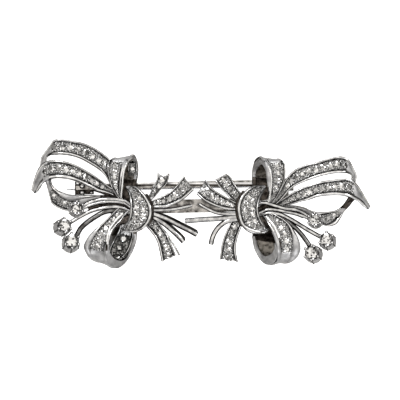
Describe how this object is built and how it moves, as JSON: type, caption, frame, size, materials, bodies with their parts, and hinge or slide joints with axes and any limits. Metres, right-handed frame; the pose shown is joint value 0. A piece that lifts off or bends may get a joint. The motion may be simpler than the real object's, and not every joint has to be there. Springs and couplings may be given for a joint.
{
  "type": "double spray brooch",
  "caption": "Brooch of two mirrored ribbon and flower sprays set with clear cut stones, joined on one pin frame with a hinged pin.",
  "frame": {"origin": "middle of the bounding box in X and Y, at the lowest point of its back", "axes": "+X to the viewer's right as the brooch is worn, +Y up, +Z out of the front towards the viewer; it lies on its back"},
  "size_m": [0.068, 0.0259, 0.01],
  "materials": {
    "metal": "polished white gold or platinum",
    "frame_metal": "polished white gold with fine scratches",
    "pin_steel": "drawn wire",
    "stone": "clear cut stone"
  },
  "bodies": {
    "brooch": {"frame": "frame_metal", "left_spray": "metal", "right_spray": "metal", "left_row_wing_upper": "stone", "left_row_wing_lower": "stone", "left_row_under": "stone", "left_row_top_loop": "stone", "left_row_bottom_loop": "stone", "left_row_bottom_back": "stone", "left_row_knot": "stone", "left_row_fork": "stone", "left_row_broad": "stone", "left_row_lower": "stone", "right_row_wing_upper": "stone", "right_row_wing_lower": "stone", "right_row_under": "stone", "right_row_top_loop": "stone", "right_row_bottom_loop": "stone", "right_row_knot": "stone", "right_row_fork": "stone", "right_row_broad": "stone", "right_row_lower": "stone", "left_stone_near": "stone", "left_stone_mid": "stone", "left_stone_far": "stone", "right_stone_near": "stone", "right_stone_mid": "stone", "right_stone_far": "stone"},
    "pin": {"pin_stem": "pin_steel"}
  },
  "joints": [
    {"name": "pin_hinge", "type": "hinge", "parent": "brooch", "child": "pin", "pos_m": [0.01732, 0.00387, 0.0012], "axis": [0.0227, -0.9997, 0], "range_deg": [0, 75]}
  ]
}
